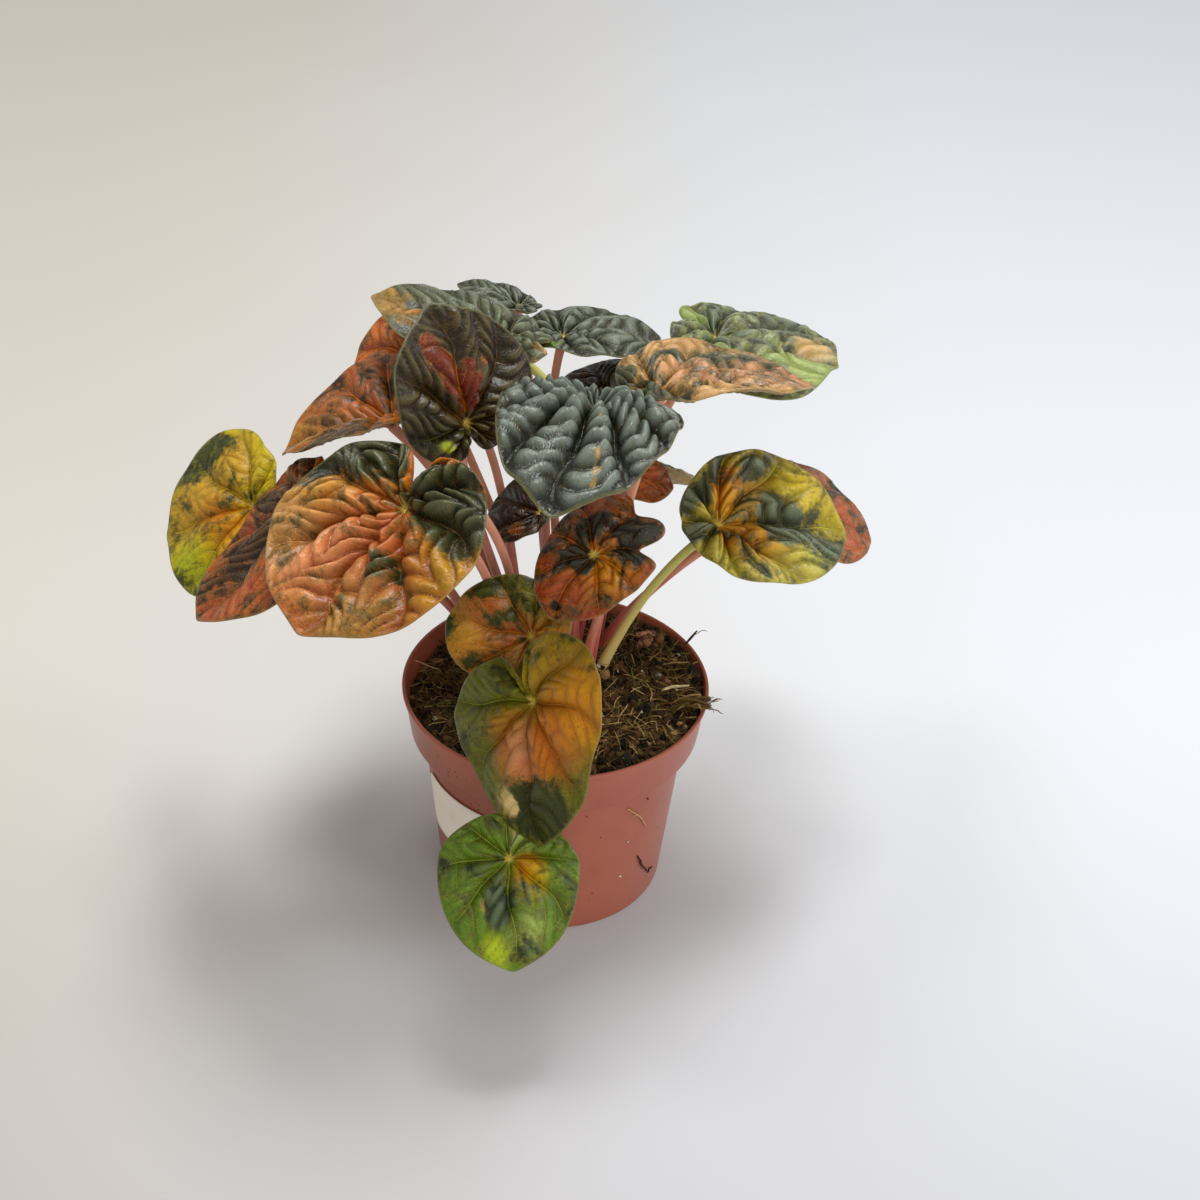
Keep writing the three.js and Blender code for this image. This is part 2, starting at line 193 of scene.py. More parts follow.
def shellFaces(rows, columns):
    # Faces of a closed grid: the first and last row are single points and the columns run round.
    j = arange(columns)
    k = (j + 1) % columns
    i = arange(rows - 3)[:, None] * columns + 1
    last = 1 + (rows - 2) * columns
    quads = stack([i + j, i + columns + j, i + columns + k, i + k], -1).reshape(-1, 4)
    first = stack([0 * j, 1 + j, 1 + k], -1)
    final = stack([0 * j + last, last - columns + k, last - columns + j], -1)
    return first.tolist() + final.tolist() + quads.tolist()


def shellCorners(values):
    # One value for each face corner in shellFaces' order, from a grid with one column more than
    # the shell, so that a value may jump where the columns meet.
    left, right = values[:, :-1], values[:, 1:]
    first = stack([left[0], left[1], right[1]], 1)
    final = stack([left[-1], right[-2], left[-2]], 1)
    quads = stack([left[1:-2], left[2:-1], right[2:-1], right[1:-2]], 2)
    return concatenate([part.reshape(-1, values.shape[2]) for part in (first, final, quads)])


def shellPoints(grid):
    # the grid's points as one list, with each pole row as one point
    return concatenate([grid[:1, 0], grid[1:-1].reshape(-1, grid.shape[2]), grid[-1:, 0]])


def shell(grid):
    return shellPoints(grid), shellFaces(*grid.shape[:2])


def together(shapes):
    # several lists of points and faces as one
    points, faces, count = [], [], 0
    for somePoints, someFaces in shapes:
        faces += [[index + count for index in face] for face in someFaces]
        points.append(somePoints)
        count += len(somePoints)
    return concatenate(points), faces


def tubeGrid(path, radii, sides):
    # Rings of points round a path, each turned as little as its tangent needs, and a point at each end.
    tangent = unit(np.gradient(path, axis=0))
    side = cross(tangent[0], [.3, .9, .1])
    normals = []
    for t in tangent:
        side = unit(side - t * np.dot(side, t))
        normals.append(side)
    normals = array(normals)
    other = cross(tangent, normals)
    turn = linspace(0, 2 * pi, sides, endpoint=False)[:, None]
    rings = path[:, None] + radii[:, None, None] * (cos(turn) * normals[:, None] + sin(turn) * other[:, None])
    ends = [repeat(path[k][None, None], sides, 1) for k in (0, -1)]
    return concatenate([ends[0], rings, ends[1]])


# The pot: a tapered plastic cup with a wide collar round its mouth.
pot = dict(height=90, rimRadius=60, lipWidth=.7, lipHeight=2.2, collarHeight=19, collarFootRadius=57,
           shoulderRadius=52, baseRadius=45.3, wall=1.4, floor=1.8, columns=180,
           drainHoles=6, drainRadius=4, drainRing=27)
shoulderHeight = pot['height'] - pot['collarHeight']


def bodyRadius(z):
    # straight from the base to the shoulder
    return mix(pot['baseRadius'], pot['shoulderRadius'], z / shoulderHeight)


def collarRadius(z):
    # straight from the collar's foot to just under the lip
    part = (z - shoulderHeight) / pot['collarHeight']
    return mix(pot['collarFootRadius'], pot['rimRadius'] - pot['lipWidth'], part)


def roundedProfile(corners, steps=5):
    # Each corner (radius, z, rounding) becomes a short curve between points that far from it.
    line = []
    spots = array([c[:2] for c in corners], float)
    for k, (x, z, size) in enumerate(corners):
        if size == 0:
            line.append([x, z])
            continue
        here = spots[k]
        start = here + unit(spots[k - 1] - here) * size
        end = here + unit(spots[k + 1] - here) * size
        t = linspace(0, 1, steps)[:, None]
        line.extend(((1 - t) ** 2 * start + 2 * t * (1 - t) * here + t * t * end).tolist())
    return array(line)


def latheGrid(profile, columns):
    # the profile's points turned round the vertical axis
    turn = linspace(0, 2 * pi, columns, endpoint=False)
    radius, height = profile[:, :1], profile[:, 1:]
    return stack([radius * cos(turn), radius * sin(turn), height + 0 * turn], -1)


def plasticMaterial():
    # moulded terracotta-brown plastic: faint cloudy colour, peat dust near the rim and a few specks
    material, start = newMaterial('pot plastic', {'IOR': 1.46})
    place = start.place()
    z = place.parts()[2]
    cloud = place.noise(22, 3)
    base = cloud.step(.3, .7).blend('944c38', 'a05a45')
    dusty = place.noise(60, 4, .7).step(.58, .75) * z.step(.045, .09, .25, 1)
    speck = place.cells(330).step(.1, .22, 1, 0) * place.noise(45, 2).step(.6, .66)
    colour = (dusty * .35).blend(base, '8a6a55')
    colour = (speck * .85).blend(colour, '33231a')
    scuff = place.times((1, 1, 6)).noise(260, 2)
    rough = cloud * .1 + dusty * .25 + scuff.step(.62, .8) * .08 + .3
    return feed(material, colour, rough, place.noise(2600, 2) * .01 + place.noise(120, 2) * .05 + speck * .05)


def makePot():
    # a closed profile from the middle of the underside round the rim to the middle of the floor
    p = pot
    lipFoot = p['height'] - p['lipHeight']
    inner = shoulderHeight + p['wall']
    corners = [
        (0, 0, 0), (20, 0, 0), (p['baseRadius'], 0, .9), (bodyRadius(shoulderHeight), shoulderHeight, .6),
        (p['collarFootRadius'], shoulderHeight, .9), (collarRadius(lipFoot), lipFoot, .5),
        (p['rimRadius'], lipFoot + p['lipWidth'], .35), (p['rimRadius'], p['height'], .55),
        (p['rimRadius'] - p['wall'], p['height'], .45), (collarRadius(inner) - p['wall'], inner, .9),
        (bodyRadius(inner) - p['wall'], inner, .5), (bodyRadius(p['floor']) - p['wall'], p['floor'], .8),
        (20, p['floor'], 0), (0, p['floor'], 0)]
    grid = latheGrid(roundedProfile(corners), p['columns'])
    piece = addPiece('potShell', *shell(grid), plasticMaterial(), 'pot', ['pot'])
    below, above = -3, 5  # how far each drill reaches through the floor
    profile = array([[0, below], [p['drainRadius'], below], [p['drainRadius'], above], [0, above]], float)
    drills = []
    for turn in 2 * pi * arange(p['drainHoles']) / p['drainHoles']:
        middle = [p['drainRing'] * cos(turn), p['drainRing'] * sin(turn), 0]
        drills.append(shell(latheGrid(profile, 32) + middle))
    drill = newMesh('drill', *together(drills))
    cut = piece.modifiers.new('drain holes', 'BOOLEAN')
    cut.object = drill
    bpy.context.view_layer.update()
    done = bpy.data.meshes.new_from_object(piece.evaluated_get(bpy.context.evaluated_depsgraph_get()))
    piece.modifiers.clear()
    piece.data = done
    bpy.data.objects.remove(drill)
    print('pot: ', len(done.polygons), 'faces')


makePot()

# The label: a blank curved paper patch on the pot's body.
label = dict(centre=226, width=50, radius=50, bottom=29.5, top=57, corner=2, thickness=.35, standOff=.36,
             rows=14, columns=60)


def paperMaterial():
    # matt white paper with faint fibres, a slight crease and a little dirt
    material, start = newMaterial('label paper', {})
    place = start.place()
    fibre = place.times((1, 1, .35)).noise(900, 3, .6)
    stain = place.noise(70, 3).step(.55, .8)
    colour = (stain * .35).blend('f4ecdc', 'cfc2ae')
    colour = fibre.step(.62, .75, 0, .12).blend(colour, 'b9aa96')
    return feed(material, colour, fibre * .2 + .62, fibre * .03 + place.noise(90, 2) * .12)


def makeLabel():
    # A band up the front and down the back; rows near its top and bottom are shorter for round corners.
    p = label
    corner, rows = p['corner'], p['rows']
    heights = linspace(p['bottom'], p['top'], rows)
    fromEdge = np.minimum(heights - p['bottom'], p['top'] - heights)
    pull = corner - np.sqrt(clip(corner ** 2 - clip(corner - fromEdge, 0, corner) ** 2, 0, None))
    z = concatenate([heights, heights[::-1]])
    lift = concatenate([np.full(rows, p['thickness']), np.zeros(rows)])
    radius = bodyRadius(z) + p['standOff'] + lift
    half = radians(p['width'] / 2) - concatenate([pull, pull[::-1]]) / p['radius']
    part = linspace(-.5, .5, p['columns'] + 1)[:, None]
    angle = radians(p['centre']) + 2 * part * half
    grid = stack([radius * cos(angle), radius * sin(angle), z + 0 * angle], -1)
    ends = [repeat(grid[k].mean(0)[None, None], len(z), 1) for k in (0, -1)]
    grid = concatenate([ends[0], grid, ends[1]])
    addPiece('labelPaper', *shell(grid), paperMaterial(), 'label', ['label'])
    print('label')


makeLabel()

# The peat: a slope to the right, a mound in the middle, lumps, and a crumbly surface over them.
soil = dict(level=84.3, rise=4.2, moundHeight=3, moundRadius=30, lumpHeight=.9, lumpPitch=20, crumbPitch=10,
            wallLevel=84, strandReach=58, rings=110, columns=260, crumbs=2600, fibres=1900, straws=120,
            perlite=60)
cracks = np.random.default_rng(7)
waveTurns = cracks.uniform(0, pi, 26)
waveScales = cracks.uniform(1.4, 7, 26)
wavePhases = cracks.uniform(0, 2 * pi, 26)


def soilHeight(x, y):
    # the plain height that the stalks stand in
    s = soil
    turnX, turnY = 2 * pi / s['lumpPitch'], 2 * pi / s['crumbPitch']
    mound = exp(-(x * x + y * y) / s['moundRadius'] ** 2)
    lumps = sin(turnX * x + 1) * cos(turnX * y) + .7 * sin(turnY * (x + .8 * y))
    return s['level'] + s['rise'] * x / pot['rimRadius'] + s['moundHeight'] * mound + s['lumpHeight'] * lumps


def crumbly(x, y):
    # Small lumps: many waves in different directions, flattened, with a groove where their sum is nought.
    x, y = np.asarray(x, float), np.asarray(y, float)
    along = np.multiply.outer(x, cos(waveTurns)) + np.multiply.outer(y, sin(waveTurns))
    waves = sin(2 * pi * along / waveScales + wavePhases) * waveScales ** .8
    total = waves.sum(-1) / 16
    return 1.2 * np.tanh(total) - .4 * exp(-(total / .25) ** 2)


def soilMaterial():
    # damp peat: dark brown with lighter dry fibres and greenish bits
    material, start = newMaterial('peat', {'Specular IOR Level': .25})
    place = start.place()
    clumps = place.noise(160, 5, .7)
    base = clumps.step(.35, .65).blend('1c120a', '705a30')
    base = (place.noise(420, 4, .75).step(.56, .72) * .55).blend(base, '7d6040')
    streak = place.times((1, 5, 1)).noise(300, 3, .6, 1.5).step(.62, .68)
    base = (streak * .5).blend(base, '8c6f4a')
    base = (place.noise(90, 3).step(.6, .7) * .35).blend(base, '4a4a1e')
    return feed(material, base, clumps * .2 + .75, clumps * .9 + place.noise(900, 3, .7) * .35)


def pieceMaterial(name, rough, grain):
    # small loose bits: their own colour from the mesh, mottled
    material, start = newMaterial(name, {'Specular IOR Level': .45})
    place = start.place()
    own = start.attribute('shade', 0)
    mottle = place.noise(900, 3, .7)
    colour = mottle.step(.3, .7).blend(own.times((.6, .58, .55)), own)
    return feed(material, colour, mottle * .2 + rough, place.noise(1500, 2) * grain)


def onSoil(count, rng, reach, lift):
    # places spread evenly over the peat's round top, lifted a little
    radius = (collarRadius(soil['wallLevel']) - 2.2) * reach * np.sqrt(rng.uniform(0, 1, count))
    angle = rng.uniform(0, 2 * pi, count)
    x, y = radius * cos(angle), radius * sin(angle)
    return stack([x, y, soilHeight(x, y) + crumbly(x, y) + lift], 1)


def roundedBits(centres, sizes, rng, rough=.25):
    # Rough balls: a twenty-faced ball for each bit, stretched, turned and dented at random.
    golden = (1 + 5 ** .5) / 2
    reach = 1.902  # how far the ball's corners are from its middle before scaling
    first = array([[-1, golden, 0], [1, golden, 0], [-1, -golden, 0], [1, -golden, 0]])
    ball = concatenate([np.roll(first, k, 1) for k in range(3)]) / reach
    sides = array([[0, 11, 5], [0, 5, 1], [0, 1, 7], [0, 7, 10], [0, 10, 11], [1, 5, 9], [5, 11, 4],
                   [11, 10, 2], [10, 7, 6], [7, 1, 8], [3, 9, 4], [3, 4, 2], [3, 2, 6], [3, 6, 8],
                   [3, 8, 9], [4, 9, 5], [2, 4, 11], [6, 2, 10], [8, 6, 7], [9, 8, 1]])
    count = len(centres)
    turned, _ = np.linalg.qr(rng.normal(size=(count, 3, 3)))
    turned[:, :, 0] *= np.sign(np.linalg.det(turned))[:, None]
    stretch = rng.uniform(.6, 1.25, (count, 1, 3))
    dent = 1 + rng.uniform(-rough, rough, (count, 12, 1))
    points = np.einsum('nij,nkj->nki', turned, ball * stretch * dent) * sizes[:, None, None]
    points = points + centres[:, None]
    faces = (sides[None] + 12 * arange(count)[:, None, None]).reshape(-1, 3)
    return points.reshape(-1, 3), faces.tolist()


def threads(starts, heading, lengths, widths, rng, bend, steps=8):
    # Thin three-sided rods along paths that wander, first a little upwards and then down.
    count = len(starts)
    turn = heading[:, None] + cumsum(rng.normal(0, .28 * bend, (count, steps)), 1)
    slope = .14 + rng.normal(0, .22, (count, 1)) + cumsum(rng.normal(0, .12 * bend, (count, steps)), 1)
    slope = slope - .25 * linspace(0, 1, steps)
    move = stack([cos(turn) * cos(slope), sin(turn) * cos(slope), sin(slope)], -1)
    path = starts[:, None] + cumsum(move, 1) * (lengths / steps)[:, None, None]
    path = concatenate([starts[:, None], path], 1)
    tangent = unit(np.gradient(path, axis=1))
    side = unit(cross(tangent, [.2, .1, .97]))
    other = cross(tangent, side)
    taper = concatenate([[.35], np.ones(steps - 1), [.3]])
    radius = (widths[:, None] / 2 * taper)[..., None, None]
    angle = (2 * pi * arange(3) / 3)[:, None]
    ring = path[:, :, None] + radius * (cos(angle) * side[:, :, None] + sin(angle) * other[:, :, None])
    i, j = np.meshgrid(arange(steps) * 3, arange(3), indexing='ij')
    k = (j + 1) % 3
    quads = stack([i + j, i + k, i + 3 + k, i + 3 + j], -1).reshape(-1, 4)
    caps = array([[2, 1, 0], [3 * steps, 3 * steps + 1, 3 * steps + 2]])
    shift = (arange(count) * (steps + 1) * 3)[:, None, None]
    faces = (quads[None] + shift).reshape(-1, 4).tolist() + (caps[None] + shift).reshape(-1, 3).tolist()
    return ring.reshape(-1, 3), faces


def addBits(name, shape, count, colours, weights, rng, rough, grain, flat=False):
    # One piece of many bits. Each bit draws its colour by weight and is a little lighter or darker.
    piece = addPiece(name, *shape, pieceMaterial(name, rough, grain), 'soil', flat=flat)
    table = array([linearColour(c) for c in colours])
    pick = rng.choice(len(colours), count, p=array(weights) / sum(weights))
    light = rng.uniform(.75, 1.25, (count, 1))
    shade = concatenate([table[pick] * light, np.ones((count, 1))], 1)
    addAttribute(piece, 'shade', repeat(shade, len(shape[0]) // count, 0))


def onPot(angle, z, out):
    # a point just off the pot's body
    turn = radians(angle)
    radius = bodyRadius(z) + out
    return [radius * cos(turn), radius * sin(turn), z]


# Single strands as start, end, width, colour and bow: a twig over the rim, straws on the peat, strands
# stuck to the pot and its collar, and a ragged bundle over the rim on the right.
looseStrands = [
    ([51, 27.3, 90.5], [55.4, 29.4, 96], 1.1, '3a2a18', [0, 0, 0]),
    ([54, 28.6, 94], [59.5, 30, 95.5], .35, '8a7450', [0, 0, 1]),
    ([41.5, -2.7, 89.5], [52.2, .4, 90], 1.3, 'f0dca8', [0, .3, .3]),
    ([35, 2.5, 89], [37, -9.5, 88.8], .6, 'c8b070', [1.2, 0, .8]),
    ([30, 12, 89.5], [33, -3, 88.8], .6, '76802c', [-1.5, 0, .8]),
    (onPot(-54.1, 61.5, .45), onPot(-40.2, 44.5, .5), .7, 'c89a60', [.5, -.5, 1.4]),
    (onPot(-50.5, 56, .45), onPot(-46, 54.5, .5), .45, 'c89a60', [0, 0, 0]),
    (onPot(-43.3, 30, .6), onPot(-31.5, 13.5, .7), .9, '3c2414', [-.4, -.6, .8]),
    (onPot(-31.5, 13.5, .7), onPot(-28, 15, .7), .8, '3c2414', [0, 0, 0]),
    (onPot(-40, 26, .5), onPot(-38.5, 20, .6), .5, '5a3a20', [.5, -.5, 0]),
    (onPot(-61, 90.5, .5), onPot(-59.5, 82, .5), .5, '5a3a20', [.5, -.5, 0]),
    (onPot(-44.3, 84.4, .5), onPot(-45, 81.5, .5), .6, '4a2c18', [0, 0, 0]),
] + [
    ([45.5 + 1.9 * (k % 5), -9.5 - .8 * (k % 7), 89 + .35 * (k % 6)],
     [56.5 + 1.3 * (k * 3 % 6), -8 - 1.5 * (k * 5 % 7), 92.8 - .8 * (k * 2 % 5) + .5 * (k % 3)],
     .5 + .18 * (k % 4), ['7e6434', '4e3a1e', 'a08450', '645422'][k % 4],
     [.4, 1.2 - .8 * (k % 4), 2.6 - .8 * (k % 3)]) for k in range(20)
] + [
    ([59.5, -10.5 - 1.1 * k, 92], [61.5 + 1.1 * (k * 3 % 4), -7 - 2.3 * k, 90 + 1.6 * (k * 5 % 4)], .4,
     ['b8985c', '5a4420'][k % 2], [.6, 0, .8 - .5 * (k % 3)]) for k in range(6)
]
# specks on the pot as angle, height, size and colour
potSpecks = [(-51.1, 41.9, .5, 'd8d2c0'), (-52.9, 23.4, .55, 'd8d2c0'), (-42.6, 61, .4, '3a2a18'),
             (-73.4, 63.2, .4, '3a2a18'), (-66, 50, .3, '3a2a18')]


def looseBits(rng):
    # The single strands and specks as one piece; each strand bows, wavers a little and thins at its ends.
    t = linspace(0, 1, 13)[:, None]
    thin = .5 + .5 * sin(pi * linspace(.12, .95, 13))
    shapes, colours = [], []
    for k, (start, end, width, colour, bow) in enumerate(looseStrands):
        path = mix(array(start), array(end), t) + array(bow) * 4 * t * (1 - t)
        path = path + .25 * sin(7 * t + [k, 2 * k, 3 * k]) * sin(pi * t)
        shapes.append(shell(tubeGrid(path, width / 2 * thin, 6)))
        colours.append(colour)
    for angle, z, size, colour in potSpecks:
        shapes.append(roundedBits(array([onPot(angle, z, .25)]), array([size]), rng))
        colours.append(colour)
    piece = addPiece('looseBits', *together(shapes), pieceMaterial('loose bits', .7, .1), 'soil')
    shade = [repeat([rgba(colour)], len(points), 0) for (points, _), colour in zip(shapes, colours)]
    addAttribute(piece, 'shade', concatenate(shade))


def makeSoil():
    # The top is soilHeight with crumbs over it; the side follows the pot's inner wall.
    s = soil
    part = linspace(0, 1, s['rings'] + 1)[:, None]
    turn = linspace(0, 2 * pi, s['columns'], endpoint=False)
    wallRadius = collarRadius(s['wallLevel']) - pot['wall'] - .15
    x, y = part * wallRadius * cos(turn), part * wallRadius * sin(turn)
    z = soilHeight(x, y) + crumbly(x, y) * smooth(1, .96, part)
    # down inside the collar, in past its step, and down the body to just over the pot's floor
    foot, step, low, gap = 74, 71, 2.2, 2
    down = array([[collarRadius(foot) - 1.9, foot], [bodyRadius(70) - gap, step],
                  [bodyRadius(low) - gap, low], [0, low]])
    grid = concatenate([stack([x, y, z], -1), latheGrid(down, s['columns'])])
    addPiece('peat', *shell(grid), soilMaterial(), 'soil', ['soil'])
    rng = np.random.default_rng(21)
    centres = onSoil(s['crumbs'], rng, 1, 0)
    sizes = .4 + 2 * rng.uniform(0, 1, s['crumbs']) ** 3.5
    centres[:, 2] += .2 * sizes
    addBits('peatCrumbs', roundedBits(centres, sizes, rng), s['crumbs'],
            ['1a120a', '3c2912', '66492a', '947248'], [5, 4, 3, 1], rng, .8, .25, True)
    # three single lumps, and a cluster of small ones behind the stalks on the right
    centres = array([[-30, -30, 84], [44, 6, 87.5], [20, -34, 86]])
    centres = concatenate([centres, [35.8, 29, 91] + rng.normal(0, 1, (30, 3)) * [1.9, 1.9, 1.2]])
    sizes = concatenate([[2.6, 2.4, 2.6], rng.uniform(1.2, 2.4, 30)])
    addBits('peatLumps', roundedBits(centres, sizes, rng, .18), len(sizes),
            ['a07050', 'b48262', '6e4a2c'], [2, 2, 1], rng, .85, .6)
    for name, count, colours, weights, width, length, bend in [
            ('peatFibres', s['fibres'], ['3c2a12', '6a4c22', '9a7840', 'd0b070', '707228', '7a4a28'],
             [5, 5, 4, 3, 3, 1], .4, 10, .65),
            ('strawBits', s['straws'], ['d2b478', 'a8884e', '7a5c35'], [2, 2, 1], .55, 8, .35)]:
        starts = onSoil(count, rng, .97, .4)
        lengths = length * rng.uniform(.35, 1.3, count)
        widths = width * rng.uniform(.5, 1.4, count)
        heading = rng.uniform(0, 2 * pi, count)
        points, faces = threads(starts, heading, lengths, widths, rng, bend)
        # no strand goes through the pot's wall
        most = s['strandReach']
        points[:, :2] *= (most / np.maximum(hypot(points[:, 0], points[:, 1]), most))[:, None]
        addBits(name, (points, faces), count, colours, weights, rng, .7, .05)
    centres = onSoil(s['perlite'], rng, .97, .5)
    shape = roundedBits(centres, rng.uniform(.45, 1.35, s['perlite']), rng, .2)
    addBits('perlite', shape, s['perlite'], ['e8e4d8', 'cfd6b8', 'bdb49c'], [4, 2, 2], rng, .7, .1)
    looseBits(rng)
    print('peat, crumbs, fibres and perlite')


makeSoil()

# Every leaf blade: the sheet's own sizes, in millimetres or as parts of the leaf's length.
blade = dict(thickness=1, hollowDepth=3, hollowRadius=9, foldRound=3, taper=2.6, sinusWidth=.22,
             tipLength=.06, tipWidth=.12, tearDepth=.35, tearWidth=.16)
petiole = dict(crownY=6, radius=1.9, outward=.2, sides=18, rings=44)
# Of a leaf's usual entries, the one after beads is how much painted grey sheen its pillows get.
# what a leaf has where its own entry says nothing else
usual = dict(veins=8, ridge=.07, sinus=.7, skew=0, point=0, crease=.8, split=.7, slant=.75, beads=1,
             bloom=.04, gloss=0, stalk='pink', lift=.42, lean=.5, reach=.32,
             spots=(), darks=())

tints = dict(salmon='bd7440', rust='94441a', ember='7c2c0a', orange='b25c0a', amber='bc7806',
             ochre='ae8024', yellow='b09a08', lime='9aa80c', green='467a16', olive='565c0c', moss='414a0c',
             grey='4a4e2c', slate='2b3018', coal='211f0c', plum='2c1408', umber='54340f', cream='d4b67c',
             tan='b9915a', sage='87936a', bark='473a14', straw='a89a3a', leek='86964a', fern='4c6812',
             mist='5f6848', faded='8c7a5c', blush='b8805a', khaki='8a6c2e', wine='5e1f08', bronze='8e6c0a',
             jade='465a32')


def oneLeaf(*values, **own):
    # A leaf's shape: joint; heading, pitch, roll; length, side, lobe; arch, cup, fold; foot angle, distance.
    # Its look: slot, light tint, deep tint, how dark it is, spots as (angle, part, size, tint) and darks as
    # (angle, part, size, amount).
    names = 'joint turn size bend foot slot base deep dark spots darks'.split()
    return {**usual, **dict(zip(names, values)), **own}


